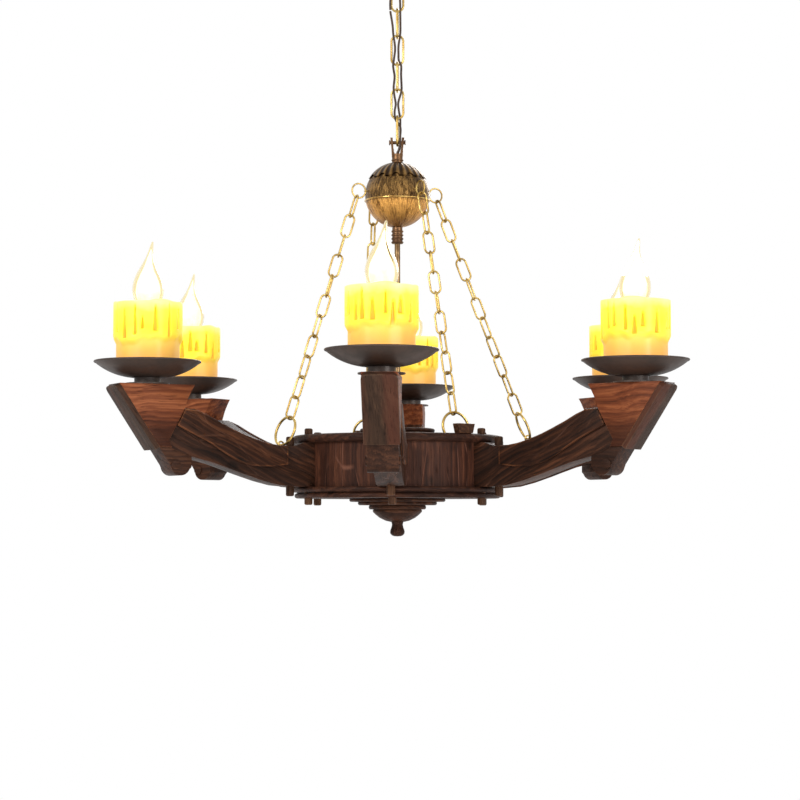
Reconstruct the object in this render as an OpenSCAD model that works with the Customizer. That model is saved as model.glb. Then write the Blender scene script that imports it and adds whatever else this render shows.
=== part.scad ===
// Six-arm wooden candle chandelier on a chain.
// Heights are measured from the plane of the drip-pan rims; the ceiling plane
// is z = 0 and the lamp hangs below it. The front arm points along -Y.

/* [Overall] */
// Height of the ceiling above the drip-pan rims
drop = 530; // [520:1:600]
// Radius of the circle on which the candles stand
candle_circle = 315; // [312:1:318]

/* [Drip pan and candle] */
// Outer diameter of a drip pan
pan_d = 120; // [116:1:124]
// Depth of a drip pan
pan_depth = 18; // [17:0.5:19]
// Sheet thickness of a drip pan
pan_wall = 1.6; // [1.2:0.1:2]
// Diameter of the candle sleeve body
candle_d = 71; // [69:1:73]
// Diameter over the wax drips at the candle top
drip_d = 79; // [77:1:81]
// Bore of the candle sleeve, wider than the bulb that it lifts over
candle_bore = 41; // [40:0.5:43]
// Height of the candle top above the pan rim
candle_top = 68; // [66:1:70]
// Greatest diameter of the bulb
bulb_d = 35.5; // [34:0.5:36]
// Height of the bulb tip above the pan rim
bulb_tip = 136; // [132:1:140]
// Outer diameter of a lampholder
holder_d = 28; // [26:0.5:30]
// Radial clearance of the bulb cap in its socket
cap_gap = 0.3; // [0.3:0.05:0.5]

/* [Arm] */
// Thickness of the arm beam
arm_w = 31; // [29:1:33]
// Thickness of a side rail
rail_t = 4; // [3:0.5:4.5]
// Width of the end bracket
bracket_w = 38; // [36:1:39]
// Width of the front plate
plate_w = 38.5; // [37:0.5:40]
// Thickness of the front plate
plate_t = 6; // [5:0.5:6.5]
// Width of the scroll foot
foot_w = 34; // [32:1:36]
// Diameter of the stem that carries a candle
stem_d = 10; // [9:0.5:11]
// Diameter of the cable inside an arm
cable_d = 4; // [3:0.5:4.5]

/* [Hub] */
// Radius of the two hub discs
disc_r = 125; // [123:1:127]
// Radius of the hub drum
drum_r = 116; // [113:1:117]
// Diameter of the dowel pegs
peg_d = 9.5; // [9:0.5:10]

/* [Ball and rod] */
// Radius of the brass ball
ball_r = 38.6; // [38:0.1:39]
// Sheet thickness of the ball halves
ball_wall = 1.2; // [1:0.1:1.5]
// Outer diameter of the centre rod
rod_d = 6.8; // [6.6:0.1:7.2]
// Bore of the centre rod
rod_bore = 5.4; // [5.3:0.1:5.6]

/* [Chains] */
// Wire diameter of the main chain
main_wire = 2.8; // [2.6:0.1:3]
// Outer length of a main chain link
main_len = 38.3; // [37.8:0.1:38.8]
// Outer width of a main chain link
main_wide = 17; // [16:0.5:18]
// Wire diameter of an arm chain
chain_wire = 2.4; // [2.2:0.1:2.6]
// Outer width of an arm chain link
chain_wide = 14; // [13:0.5:15]
// Links in one arm chain
chain_links = 11; // [11:1:11]
// Free gap where two links hang in each other
link_gap = 0.15; // [0.1:0.05:0.25]
// Free gap at the two links on which the lamp swings
swing_gap = 0.3; // [0.3:0.05:0.4]
// Diameter of one strand of the supply cord
cord_d = 2.6; // [2.4:0.1:2.6]

/* [Hidden] */
$fn = 64;
small = 32;

// heights above the pan-rim plane
pan_floor = -pan_depth + pan_wall;
pan_flat = 12;
pan_run = pan_d/2 - pan_flat;
pan_R = (pan_run*pan_run + pan_depth*pan_depth)/(2*pan_depth);
// the candle stands with its lower edge on the curve of the pan
candle_low = pan_R - pan_depth + 0.15
  - sqrt(pow(pan_R - pan_wall, 2) - pow(candle_d/2 - pan_flat, 2));
seat_h = 6;
flange_h = 1.5;
bracket_top = -pan_depth - seat_h - flange_h;
disc_top = -78;
peg_in = disc_r - 9;
peg_out = disc_r + 14.5;
drum_top = -88;
drum_low = -139;
disc_low = -152;
rosette_low = -180;
ball_z = 210.2;
seam_z = 203.6;
pin_z = 274;

// cable channel in an arm: from the hub terminal up to the stem
elbow_z = -72;
cable_fall = 53.465;
cable_turn = 2.6;
cable_in = 26;
cable_slope = cable_fall/(candle_circle - cable_in);
channel_d = cable_d + 2;
cable_tilt = atan(cable_slope);

// main chain, counted upward from the clevis pin
pin_d = 4;
loop_wire = 4;
main_c = main_len - main_wire;
main_low = pin_z - pin_d/2 - main_wire/2 - link_gap;
main_pitch = main_c - main_wire - link_gap;
link6_low = main_low + 5*main_pitch + link_gap - swing_gap;
link6_top = link6_low + main_c;
loop_z = link6_top - loop_wire/2 - main_wire/2 - swing_gap;
loop_r = 10;
nut_low = loop_z + 2*loop_r + 1;
canopy_low = nut_low + 7;
canopy_r = 60;
canopy_h = drop - canopy_low;
canopy_R = (canopy_r*canopy_r + canopy_h*canopy_h)/(2*canopy_h);

// arm chain anchors: azimuth from the front arm, radius, wood height,
// lift of the screw eye, turn of the ring, azimuth of the ring on the ball
anchors = [
  [-60, 151, -93.5, 2.2, 10, -64],
  [43, 108, -88, 0, -14, 36],
  [120, 180, -89.6, 11, -14, 116],
  [-157, 108, -88, 0, 0, -144]
];
ring_R = 17.5;
ring_wire = 3;
eye_R = 3.6;
eye_wire = 2;
eye_up = 0.9;
ball_ring_R = 8.5;
ball_ring_wire = 2;
ball_eye_R = 1.9;
ball_eye_wire = 0.9;
ball_ring_z = 213;
ball_eye_rho = ball_r + ball_eye_R + ball_eye_wire/2;
ball_ring_rho = ball_eye_rho + 0.35 + ball_ring_R;
lean = 21;

// profiles of the wooden pieces as radius, height; past arm_root they
// stretch with the candle circle, and were drawn for circle_drawn
arm_root = 150;
circle_drawn = 315;
function stretched(v) = [for (p = v) [p[0] + (candle_circle - circle_drawn)
  *max(p[0] - arm_root, 0)/(circle_drawn - arm_root), p[1]]];
arm_drawn = [
  [92,-139],[92,-88],[128,-88],[140,-92],[150,-93.5],[162,-93.2],[175,-91],
  [190,-86.8],[205,-81.5],[220,-75],[235,-68],[250,-60],[264,-52.5],
  [277,-52],[287,-71],[296,-88],[292,-97],[280,-103],[262,-107.5],
  [240,-113],[220,-119.5],[204,-125],[180,-132.5],[160,-137.3],
  [135,-139.5],[126,-139]
];
arm_shape = stretched(arm_drawn);
rail_drawn = [
  [150,-92],[162,-91.7],[175,-89.5],[190,-85.3],[205,-80],[220,-73.5],
  [235,-66.5],[250,-58.6],[262,-53.8],[276.5,-52.5],[286,-71.5],[268,-80],
  [250,-88.5],[238,-96],[225,-104],[210,-111.5],[193,-116],[170,-116.5],
  [150,-114]
];
rail_shape = stretched(rail_drawn);
// bracket and foot reach out and in from the candle axis
bracket_reach = 39;
bracket_set = 8.5;
bracket_out = candle_circle + bracket_reach;
bracket_in = candle_circle - bracket_set;
foot_back = candle_circle - 27;
bracket_low = -96;
bracket_shape = [
  [foot_back - 23,bracket_top],[bracket_out,bracket_top],[bracket_in,bracket_low],
  [foot_back,bracket_low],[foot_back - 9,-60],[foot_back - 11.4,-50],
  [foot_back - 15,-40],[foot_back - 19.5,-31]
];
foot_shape = [
  [bracket_in,bracket_low],[foot_back,-123.5],[foot_back - 5,-127],
  [foot_back - 12,-126.5],[foot_back - 20,-118],[foot_back - 20,-100],
  [foot_back,bracket_low]
];
scroll_at = [foot_back - 7, -116];
scroll_r = 11.5;
slope_run = bracket_out - bracket_in;
slope_fall = bracket_top - bracket_low;
slope_len = sqrt(slope_run*slope_run + slope_fall*slope_fall);
slope_ang = atan2(slope_run, slope_fall);

// supply cord: route points of the two strands, x, y, height
cord_right = [
  [3.6,-3,432.95],[3.8,-3.4,416],[3.6,-3.4,405],[1.6,-3.6,391],[1.5,-3.5,380.8],
  [1.9,-4.3,372.8],[4.7,-3.5,366.4],[4.5,-0.9,355.9],[5,-0.3,343.2],[4.9,-3.8,334.9],
  [1.3,-3.5,321.9],[1.7,-1.1,313.2],[3.2,3.1,303.7],[3.2,3.6,292],[3.2,3.8,278],
  [2.6,3.4,268],[0.8,1.8,262],[0,1.35,257],[0,1.35,200],[0,1.35,0],[0,1.35,-90],
  [0.6,1.4,-97],[4,2,-102],[12,4,-104],[22,5,-105.6],[27,5,-111.4]
];
cord_left = [
  [-8.4,-3,432.95],[-5.7,-3.2,416],[-4.8,-3.4,405],[-2.6,-3.6,388],[-4,-3.6,374],
  [-5,-2.6,366],[-3.4,-0.6,354],[-4.4,-2.6,340.3],[-3.4,-3.5,330],[-1.8,-3.6,320],
  [-3.3,-1.5,310.9],[-1.9,-3.6,300.9],[3.8,-3.7,292],[3.3,-3.8,278],[2.6,-3.4,268],
  [0.8,-1.8,262],[0,-1.35,257],[0,-1.35,200],[0,-1.35,0],[0,-1.35,-90],[0.6,-1.4,-97],
  [4,-2,-102],[12,-4,-104],[22,-5,-105.6],[27,-5,-111.4]
];
link_right = [[1.6,-14,464.95],[2,-11,456],[3.4,-6,446],[3.6,-3,434.4]];
link_left = [[-1.6,-14,464.95],[-4,-11,456],[-8,-6,446],[-8.4,-3,434.4]];
top_right = [[1.6,-14,465.95],[1.6,-17,480],[1.6,-18,489],[1.6,-18,500],[2.6,-17,505],[14,-10,509],
  [25,-1,508.5],[28,4,513],[28,4,518]];
top_left = [[-1.6,-14,465.95],[-1.6,-17,480],[-1.6,-18,489],[-1.6,-18,500],[-0.6,-17,505],[7,-10,509],
  [14,0,508.5],[16,4,513],[16,4,518]];

// wax drips of one candle: length down from the rim
drips = [34, 20, 47, 16, 28, 54, 22, 40, 18, 50, 26, 36];

// ---- placing ----
module hung() { translate([0, 0, -drop]) children(); }
module around() { for (k = [0:5]) rotate([0, 0, 60*k - 90]) children(); }
module at_arm(k) { rotate([0, 0, 60*(k - 1) - 90]) children(); }
module side(w) { rotate([90, 0, 0]) linear_extrude(height=w, center=true) children(); }
module at_candle() { around() translate([candle_circle, 0, 0]) children(); }

function polar(az, r, z) = [r*cos(az - 90), r*sin(az - 90), z];
function unit(v) = v/norm(v);
function eye_at(a) = polar(a[0], a[1],
  a[2] + a[3] + eye_up + eye_R - eye_wire/2 - ring_wire/2 - link_gap - 1.65);
function ball_at(a) = polar(a[5], ball_ring_rho + ball_ring_R*sin(lean),
  ball_ring_z - ball_ring_R*cos(lean));
function toward(a) = unit(ball_at(a) - eye_at(a));
// turn of each arm chain, shared out over its links
function ball_turn(a) = ((a[5] + 90 - atan2(toward(a)[1], toward(a)[0]) + 630) % 180) - 90;
function twist(a) = (90 + ball_turn(a) - a[4])/(chain_links - 1);
function ring_top(a) = eye_at(a) + 2*ring_R*toward(a);

module along(p, d) { translate(p) rotate([0, acos(d[2]), atan2(d[1], d[0])]) children(); }

module tube(d, h, bore) {
  difference() {
    cylinder(d=d, h=h);
    translate([0, 0, -1]) cylinder(d=bore, h=h + 2);
  }
}
module torus(R, wire) { rotate_extrude() translate([R, 0]) circle(d=wire, $fn=small); }

// oval link in the XZ plane, lowest wire centre at the origin
module link(c, wide, wire) {
  r = (wide - wire)/2;
  rotate([90, 0, 0]) {
    translate([0, r, 0]) rotate([0, 0, 180]) rotate_extrude(angle=180) translate([r, 0]) circle(d=wire,
      $fn=small);
    translate([0, c - r, 0]) rotate_extrude(angle=180) translate([r, 0]) circle(d=wire, $fn=small);
    for (s = [-1, 1]) translate([s*r, r, 0]) rotate([-90, 0, 0]) cylinder(d=wire, h=c - 2*r, $fn=small);
  }
}

// smooth curve through route points
function mixp(p, q, r, s, t) = 0.5*((2*q)
  + (r - p)*t + (2*p - 5*q + 4*r - s)*t*t + (3*q - p - 3*r + s)*t*t*t);
function pick(v, i) = v[min(max(i, 0), len(v) - 1)];
function smooth(v, n) = concat([for (i = [0:len(v) - 2]) for (j = [0:n - 1])
  mixp(pick(v, i - 1), v[i], v[i + 1], pick(v, i + 2), j/n)], [v[len(v) - 1]]);
function heading(v, i) = unit(pick(v, i + 1) - pick(v, i - 1));
module strand(route, d, n, sides=8) {
  v = smooth(route, n);
  m = len(v);
  ring = [for (i = [0:m - 1]) let (t = heading(v, i), a = unit(cross([0, 1, 0.01], t)), b = cross(t, a))
    for (j = [0:sides - 1]) v[i] + d/2*(cos(360*j/sides)*a + sin(360*j/sides)*b)];
  walls = [for (i = [0:m - 2]) for (j = [0:sides - 1]) let (k = (j + 1) % sides)
    each [[i*sides + j, i*sides + k, (i + 1)*sides + k], [i*sides + j, (i + 1)*sides + k,
      (i + 1)*sides + j]]];
  low = [for (j = [0:sides - 1]) sides - 1 - j];
  high = [for (j = [0:sides - 1]) (m - 1)*sides + j];
  polyhedron(points=ring, faces=concat([low], walls, [high]), convexity=6);
}

// ---- ceiling ----
module ceiling_bracket() {
  color("lightsteelblue") hung() difference() {
    translate([-55, -11, drop - 3]) cube([110, 22, 3]);
    translate([0, 0, drop - 4]) cylinder(d=10, h=5);
    for (s = [-1, 1]) translate([s*40, 0, drop - 4]) {
      translate([-5, -2.6, 0]) cube([10, 5.2, 5]);
      for (e = [-5, 5]) translate([e, 0, 0]) cylinder(d=5.2, h=5, $fn=small);
    }
  }
}
module terminal_block() {
  color("ivory") hung() difference() {
    translate([10, -8, drop - 15]) cube([24, 16, 12]);
    for (i = [0, 1]) translate([16 + 12*i, 4, drop - 15.5]) cylinder(d=4, h=5, $fn=small);
  }
}
module canopy() {
  color("saddlebrown") hung() difference() {
    intersection() {
      translate([0, 0, canopy_low + canopy_R]) sphere(r=canopy_R);
      translate([0, 0, canopy_low - 1]) cylinder(r=canopy_r + 5, h=canopy_h + 1);
    }
    translate([0, 0, canopy_low + canopy_R]) sphere(r=canopy_R - 1.2);
    translate([0, 0, canopy_low - 2]) cylinder(d=10, h=8);
    translate([0, -18, canopy_low - 2]) cylinder(d=8, h=12, $fn=small);
  }
}
module collar_nut() {
  color("peru") hung() translate([0, 0, nut_low]) difference() {
    union() {
      cylinder(d=20, h=canopy_low - nut_low);
      translate([0, 0, 3.5]) torus(9.6, 2.4);
    }
    translate([0, 0, -1]) cylinder(d=10, h=12);
  }
}
module ceiling_loop() {
  color("peru") hung() {
    translate([0, 0, loop_z + loop_r]) rotate([0, 90, 0]) torus(loop_r, loop_wire);
    translate([0, 0, loop_z + 2*loop_r]) cylinder(d=10, h=drop - 1 - loop_z - 2*loop_r);
  }
}
module cord_grommet() {
  color("dimgray") hung() translate([0, -18, canopy_low - 0.4]) difference() {
    union() {
      cylinder(d=11, h=1.5, $fn=small);
      cylinder(d=8, h=7, $fn=small);
    }
    translate([0, 0, -1]) cylinder(d=6.2, h=10, $fn=small);
  }
}
module cord_ceiling() {
  color("black") hung() {
    strand(top_right, cord_d, 4);
    strand(top_left, cord_d, 4);
  }
}

// ---- main chain and supply cord ----
module chain_link_top() {
  color("darkkhaki") hung() translate([0, 0, link6_low]) link(main_c, main_wide, main_wire);
}
module cord_link() {
  color("black") hung() {
    strand(link_right, cord_d, 3);
    strand(link_left, cord_d, 3);
  }
}
module main_chain() {
  color("darkkhaki") hung() for (i = [0:4])
    translate([0, 0, main_low + i*main_pitch]) rotate([0, 0, 90*(i + 1)]) link(main_c, main_wide,
      main_wire);
}
module supply_cord() {
  color("black") hung() {
    strand(cord_right, cord_d, 3);
    strand(cord_left, cord_d, 3);
  }
}

// ---- clevis, ball and rod ----
module clevis() {
  color("sienna") hung() difference() {
    union() {
      translate([0, 0, 250]) cylinder(d=13, h=10);
      translate([0, 0, 252.5]) torus(6.3, 2);
      for (s = [0, 1]) mirror([s, 0, 0]) side(8)
        polygon([[2, 256], [6.5, 256], [7, 266], [8.3, 279.6], [5.5, 279.6], [4.3, 266], [3.4, 260.5],
          [2, 259]]);
    }
    translate([0, 0, 249]) cylinder(d=rod_d, h=8);
    translate([0, 0, 249]) cylinder(d=6, h=14, $fn=small);
    translate([-12, 0, pin_z]) rotate([0, 90, 0]) cylinder(d=pin_d, h=24, $fn=small);
  }
}
module clevis_pin() {
  color("peru") hung() translate([0, 0, pin_z]) rotate([0, 90, 0]) {
    translate([0, 0, -8.6]) cylinder(d=pin_d, h=17.2, $fn=small);
    for (s = [0, 1]) mirror([0, 0, s]) translate([0, 0, 8.6]) cylinder(d=6, h=1.3, $fn=small);
  }
}
module ball_shell(r, wall) {
  difference() {
    sphere(r=r);
    sphere(r=r - wall);
    translate([0, 0, -60]) cylinder(d=rod_d, h=120);
  }
}
module ball_cap() {
  color("goldenrod") hung() translate([0, 0, ball_z]) difference() {
    ball_shell(ball_r + 1.2, 1.2);
    translate([0, 0, -60]) cylinder(r=60, h=79.8);
    for (k = [0:11]) rotate([0, 0, 30*k]) translate([20, 0, 19]) rotate([0, 90, 0]) cylinder(r=4.2, h=30,
      $fn=small);
  }
}
module eye_shank_cuts() {
  for (a = anchors) rotate([0, 0, a[5] - 90]) translate([ball_r - 6, 0, ball_ring_z - ball_z]) rotate([0,
    90, 0]) cylinder(d=1.8, h=8, $fn=small);
}
module ball_upper_shell() {
  color("goldenrod") hung() translate([0, 0, ball_z]) difference() {
    ball_shell(ball_r, ball_wall);
    translate([0, 0, seam_z - ball_z + 0.8 - 60]) cylinder(r=60, h=60);
    eye_shank_cuts();
  }
}
module ball_lower_shell() {
  color("goldenrod") hung() translate([0, 0, ball_z]) difference() {
    ball_shell(ball_r, ball_wall);
    translate([0, 0, seam_z - ball_z - 0.8]) cylinder(r=60, h=60);
  }
}
module ball_seam_ring() {
  color("gold") hung() translate([0, 0, seam_z - 0.8]) rotate_extrude() {
    translate([ball_r - 2.2, 0]) square([2.4, 1.6]);
    translate([ball_r + 0.2, 0.8]) circle(r=0.8, $fn=small);
  }
}
module neck_collar() {
  color("sienna") hung() difference() {
    union() {
      translate([0, 0, 152]) cylinder(d=12.4, h=19.4);
      for (z = [153.6, 158, 162.4, 166.8]) translate([0, 0, z]) torus(6, 2.6);
    }
    translate([0, 0, 150]) cylinder(d=rod_d, h=24);
  }
}
module centre_rod() {
  color("tan") hung() difference() {
    translate([0, 0, -190]) cylinder(d=rod_d, h=447);
    translate([0, 0, -120]) cylinder(d=rod_bore, h=390);
    translate([0, -3.6, -114]) cube([5, 7.2, 18]);
  }
}
module rod_nuts() {
  color("darkgray") hung() for (z = [drum_top - 5, drum_low])
    translate([0, 0, z]) difference() {
      cylinder(d=13, h=5, $fn=6);
      translate([0, 0, -1]) cylinder(d=rod_d, h=8);
    }
}

// ---- rings and arm chains ----
module ball_eyes() {
  color("goldenrod") hung() for (a = anchors) rotate([0, 0, a[5] - 90]) {
    translate([ball_eye_rho, 0, ball_ring_z]) torus(ball_eye_R, ball_eye_wire);
    translate([ball_r - 4, 0, ball_ring_z]) rotate([0, 90, 0]) cylinder(d=1.8, h=4.2, $fn=small);
  }
}
module ball_rings() {
  color("goldenrod") hung() for (a = anchors) rotate([0, 0, a[5] - 90])
    translate([ball_ring_rho, 0, ball_ring_z]) rotate([90, 0, 0]) torus(ball_ring_R, ball_ring_wire);
}
module arm_chain(a) {
  low = ring_top(a);
  reach = norm(ball_at(a) - low);
  d = toward(a);
  under = ring_wire/2 + chain_wire/2 + link_gap;
  over = ball_ring_wire/2 + chain_wire/2 + link_gap;
  c = (reach + under + over + (chain_links - 1)*(chain_wire + link_gap))/chain_links;
  color("darkkhaki") hung() along(low, d) for (i = [0:chain_links - 1])
    translate([0, 0, -under + i*(c - chain_wire - link_gap)]) rotate([0, 0, (90 + twist(a))*i + a[4]])
      link(c, chain_wide, chain_wire);
}
module lower_rings() {
  color("goldenrod") hung() for (a = anchors) along(eye_at(a), toward(a))
    rotate([0, 0, a[4]]) translate([0, 0, ring_R]) rotate([0, 90, 0]) torus(ring_R, ring_wire);
}
module eye_frame(a) {
  d = toward(a);
  translate(polar(a[0], a[1], a[2])) rotate([0, 0, atan2(d[1], d[0]) + a[4]]) children();
}
module screw_eyes() {
  color("goldenrod") hung() for (a = anchors) eye_frame(a) {
    translate([0, 0, a[3] + eye_up]) rotate([90, 0, 0]) torus(eye_R, eye_wire);
    translate([0, 0, -22]) cylinder(d=3, h=22 + a[3] + eye_up - eye_R + 0.3, $fn=small);
  }
}
module eye_pocket() {
  translate([0, 0, -4.2]) cylinder(d=10.4, h=12, $fn=small);
  translate([0, 0, -22]) cylinder(d=3, h=24, $fn=small);
  translate([-3, -9, -2]) cube([6.5, 18, 4]);
}

// ---- hub ----
module peg(h) {
  r = peg_d/2;
  rotate_extrude() {
    square([r - 2, h]);
    translate([0, 2]) square([r, h - 4]);
    for (z = [2, h - 2]) translate([r - 2, z]) circle(r=2, $fn=small);
  }
}
module dowel_pegs() {
  color("peru") hung() around() {
    translate([peg_in, 0, -160]) peg(89);
    translate([peg_out, 0, -150]) peg(69);
  }
}
module peg_holes() {
  around() {
    translate([peg_in, 0, -200]) cylinder(d=peg_d, h=200, $fn=small);
    translate([peg_out, 0, -200]) cylinder(d=peg_d, h=200, $fn=small);
  }
}
// the cable runs past the pegs, so it turns a little about the candle
module cable_path(d, start) {
  translate([candle_circle, 0, 0]) rotate([0, 0, -cable_turn])
    translate([start - candle_circle, 0, elbow_z - (candle_circle - start)*cable_slope])
      rotate([0, 90 - cable_tilt, 0]) cylinder(d=d, h=(candle_circle - start)/cos(cable_tilt), $fn=small);
}
module hub_boss() {
  color("saddlebrown") hung() translate([0, 0, disc_top]) difference() {
    rotate_extrude() {
      square([42, 9]);
      square([44.5, 4]);
      translate([44.5, 2]) circle(r=2, $fn=small);
      translate([40, 4]) square([2, 3]);
      translate([42, 6.5]) circle(r=2.5, $fn=small);
    }
    translate([0, 0, -1]) cylinder(d=rod_d, h=12);
  }
}
module hub_top_disc() {
  color("sienna") hung() difference() {
    translate([0, 0, drum_top]) rotate_extrude() {
      square([disc_r - 5, disc_top - drum_top]);
      translate([disc_r - 5, 5]) circle(r=5, $fn=small);
    }
    translate([0, 0, drum_top - 1]) cylinder(d=rod_d, h=14);
    peg_holes();
    for (i = [1, 3]) eye_frame(anchors[i]) translate([-6, -21, -1]) cube([11, 42, 14]);
  }
}
module hub_cleats() {
  color("peru") hung() for (i = [1, 3]) rotate([0, 0, anchors[i][0] - 90]) translate([118.5, 0, disc_top])
    rotate([90, 0, 90]) linear_extrude(height=10, center=true) polygon([[-10, 0], [10, 0], [13, 11],
      [-13, 11]]);
}
module hub_drum() {
  color("sienna") hung() difference() {
    translate([0, 0, drum_low]) difference() {
      cylinder(r=drum_r, h=drum_top - drum_low);
      translate([0, 0, -1]) cylinder(r=60, h=drum_top - drum_low + 2);
    }
    around() translate([92, -arm_w/2, drum_low - 1]) cube([40, arm_w, drum_top - drum_low + 2]);
    around() cable_path(channel_d, 50);
    for (i = [1, 3]) eye_frame(anchors[i]) eye_pocket();
  }
}
module hub_terminal() {
  color("ivory") hung() difference() {
    translate([0, 0, drum_low]) tube(68, 27, 40);
    around() cable_path(cable_d, cable_in);
  }
}
module hub_bottom_disc() {
  color("sienna") hung() difference() {
    translate([0, 0, disc_low]) rotate_extrude() {
      square([disc_r - 6, drum_low - disc_low]);
      translate([0, 7]) square([disc_r - 3, 6]);
      translate([disc_r - 3, 10]) circle(r=3, $fn=small);
      translate([disc_r - 6, 3]) circle(r=3, $fn=small);
    }
    translate([0, 0, disc_low - 1]) cylinder(d=rod_d, h=16);
    peg_holes();
  }
}
module hub_rosette() {
  color("saddlebrown") hung() difference() {
    rotate_extrude() polygon([[0, disc_low], [55.6, disc_low], [57, -153.2], [57, -154.8], [55.6, -156],
      [46.4, -156], [47, -157.2], [46.8, -158.8], [45.4, -160], [33, -160], [34, -161.4], [34, -163.4],
      [32.8, -165], [28.4, -165], [29.4, -166.2], [29, -168], [26, -171], [21, -175], [14, -178.4],
      [7, rosette_low], [0, rosette_low]]);
    translate([0, 0, -200]) cylinder(d=rod_d, h=60);
  }
}
module finial() {
  color("saddlebrown") hung() difference() {
    rotate_extrude() {
      polygon([[0, rosette_low], [7, rosette_low], [6.4, -183], [7, -186], [8.2, -189], [8.7, -191.7],
        [8.2, -193.8], [6.6, -195.6], [4, -196.7], [0, -197]]);
    }
    translate([0, 0, -190]) cylinder(d=rod_d, h=20);
  }
}

// ---- arms ----
module arm_beams() {
  color("peru") hung() difference() {
    around() side(arm_w) polygon(arm_shape);
    peg_holes();
    around() cable_path(channel_d, 50);
    for (i = [0, 2]) eye_frame(anchors[i]) eye_pocket();
  }
}
module arm_rails() {
  color("sienna") hung() around() for (s = [-1, 1])
    translate([0, s*(arm_w/2 + rail_t/2), 0]) side(rail_t) polygon(rail_shape);
}
module arm_cables() {
  color("whitesmoke") hung() around() {
    cable_path(cable_d, cable_in);
    translate([candle_circle, 0, elbow_z]) sphere(d=cable_d + 0.6, $fn=small);
    translate([candle_circle, 0, elbow_z]) cylinder(d=cable_d, h=12 - elbow_z, $fn=small);
  }
}
module end_brackets() {
  color("chocolate") hung() around() difference() {
    side(bracket_w) difference() {
      polygon(bracket_shape);
      polygon(arm_shape);
    }
    translate([candle_circle, 0, -66]) cylinder(d=stem_d, h=60, $fn=small);
    translate([candle_circle, 0, elbow_z]) cylinder(d=channel_d, h=8, $fn=small);
    translate([candle_circle, 0, elbow_z]) sphere(d=channel_d + 1, $fn=small);
    cable_path(channel_d, 200);
  }
}
module front_plates() {
  color("dimgray") hung() around() translate([bracket_out, 0, bracket_top]) rotate([0, 180 + slope_ang, 0])
    rotate([0, 90, 0]) translate([0, 0, -plate_t]) linear_extrude(height=plate_t) {
      translate([-slope_len, -plate_w/2]) square([slope_len - 7, plate_w]);
      translate([-8, 7 - plate_w/2]) square([8, plate_w - 14]);
      for (s = [-1, 1]) translate([-7, s*(plate_w/2 - 7)]) circle(r=7, $fn=small);
    }
}
module scroll_feet() {
  color("sienna") hung() around() {
    side(foot_w) difference() {
      union() {
        polygon(foot_shape);
        translate(scroll_at) circle(r=scroll_r);
      }
      polygon(arm_shape);
    }
    for (s = [-1, 1]) translate([scroll_at[0] + 6, s*(foot_w/2 + 0.8), scroll_at[1] + 1]) rotate([90, 0, 0])
      cylinder(r=5.5, h=1.6, center=true, $fn=small);
  }
}

// ---- pans, holders and candles ----
module pan_seats() {
  color("dimgray") hung() at_candle() translate([0, 0, bracket_top]) difference() {
    union() {
      cylinder(d=50, h=flange_h);
      cylinder(d=29.5, h=seat_h + flange_h);
    }
    translate([0, 0, -1]) cylinder(d=stem_d, h=12);
  }
}
module drip_pans() {
  color("saddlebrown") hung() at_candle() rotate_extrude() {
    translate([stem_d/2, -pan_depth]) square([pan_flat - stem_d/2 + 0.01, pan_wall]);
    intersection() {
      translate([pan_flat, pan_R - pan_depth]) difference() {
        circle(r=pan_R);
        circle(r=pan_R - pan_wall);
      }
      translate([pan_flat, -pan_depth - 1]) square([60, pan_depth + 1]);
    }
    translate([pan_d/2 - pan_wall/2 - 0.2, 0]) circle(r=1.2, $fn=small);
  }
}
module pan_nuts() {
  color("darkgray") hung() at_candle() translate([0, 0, pan_floor]) difference() {
    cylinder(d=17, h=5, $fn=6);
    translate([0, 0, -1]) cylinder(d=stem_d, h=8);
  }
}
module candle_stems() {
  color("darkgray") hung() at_candle() translate([0, 0, -66]) tube(stem_d, 78, channel_d);
}
module lampholders() {
  color("whitesmoke") hung() at_candle() difference() {
    union() {
      translate([0, 0, 8]) cylinder(d=holder_d, h=48);
      translate([0, 0, 46]) torus(holder_d/2 - 0.4, 3);
    }
    translate([0, 0, 7]) cylinder(d=stem_d, h=5);
    translate([0, 0, 31]) cylinder(d=13.8 + 2*cap_gap, h=30);
  }
}
module bulb(k) {
  r = bulb_d/2;
  top = bulb_tip - 26;
  color("lightyellow") hung() at_arm(k) translate([candle_circle, 0, 0]) rotate([0, 0, 90 - 60*(k - 1)]) {
    translate([0, 0, 31]) cylinder(d1=6, d2=9, h=2, $fn=small);
    translate([0, 0, 33]) cylinder(d=13.8, h=24, $fn=small);
    difference() {
      rotate_extrude() polygon([[0, 57], [8.4, 57], [10.6, 60], [14, 66], [16.8, 73], [r, 80], [r - 0.3,
        86],
        [r - 1.6, 92], [r - 4, 99], [r - 7.4, top - 4], [r - 9.6, top], [0, top]]);
      rotate_extrude() polygon([[0, 59], [7.4, 59], [9.4, 61], [12.8, 67], [15.6, 74], [r - 1.2, 80],
        [r - 1.5, 86],
        [r - 2.8, 92], [r - 5.2, 98], [r - 8.6, top - 5], [0, top - 2]]);
    }
    translate([0, 0, top]) rotate([0, 11, 0]) {
      sphere(r=r - 9.7, $fn=small);
      cylinder(r1=r - 9.7, r2=2, h=24.5, $fn=small);
      translate([0, 0, 24.5]) sphere(r=2, $fn=small);
    }
  }
}
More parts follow.
